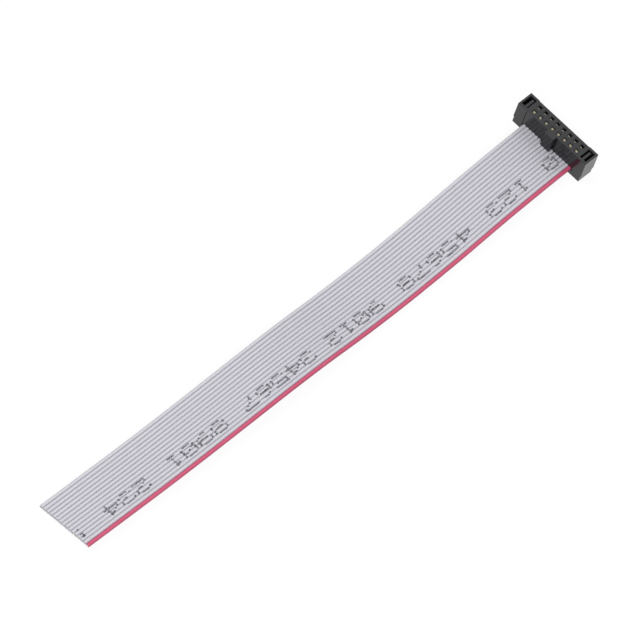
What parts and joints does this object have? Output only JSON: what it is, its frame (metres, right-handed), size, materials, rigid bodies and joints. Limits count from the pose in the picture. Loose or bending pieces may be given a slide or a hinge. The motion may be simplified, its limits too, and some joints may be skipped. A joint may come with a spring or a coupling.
{
  "type": "ribbon cable",
  "caption": "Grey flat ribbon cable with a red edge wire, a black two-row polarised socket crimped on one end and a bare square cut at the other.",
  "frame": {"origin": "centre of the flat base of the socket's cover, midway between its two contact rows and its two ends", "axes": "+X along the cable away from the socket, +Y towards the red edge wire, +Z out of the mating face"},
  "size_m": [0.1105, 0.0142, 0.0047],
  "materials": {
    "black_plastic": "satin black glass-filled polyester",
    "grey_pvc": "light grey soft PVC, semi-gloss",
    "red_pvc": "pinkish red soft PVC, semi-gloss",
    "plated_bronze": "stamped phosphor bronze, thin gold over nickel",
    "tinned_copper": "stranded tinned copper, freshly cut"
  },
  "bodies": {
    "root": {"socket_housing": "black_plastic", "cover": "black_plastic", "ribbon_insulation": "grey_pvc", "red_edge_insulation": "red_pvc", "contact_01": "plated_bronze", "contact_02": "plated_bronze", "contact_03": "plated_bronze", "contact_04": "plated_bronze", "contact_05": "plated_bronze", "contact_06": "plated_bronze", "contact_07": "plated_bronze", "contact_08": "plated_bronze", "contact_09": "plated_bronze", "contact_10": "plated_bronze", "contact_11": "plated_bronze", "contact_12": "plated_bronze", "contact_13": "plated_bronze", "contact_14": "plated_bronze", "contact_15": "plated_bronze", "contact_16": "plated_bronze", "conductor_01": "tinned_copper", "conductor_02": "tinned_copper", "conductor_03": "tinned_copper", "conductor_04": "tinned_copper", "conductor_05": "tinned_copper", "conductor_06": "tinned_copper", "conductor_07": "tinned_copper", "conductor_08": "tinned_copper", "conductor_09": "tinned_copper", "conductor_10": "tinned_copper", "conductor_11": "tinned_copper", "conductor_12": "tinned_copper", "conductor_13": "tinned_copper", "conductor_14": "tinned_copper", "conductor_15": "tinned_copper", "conductor_16": "tinned_copper"}
  },
  "joints": []
}
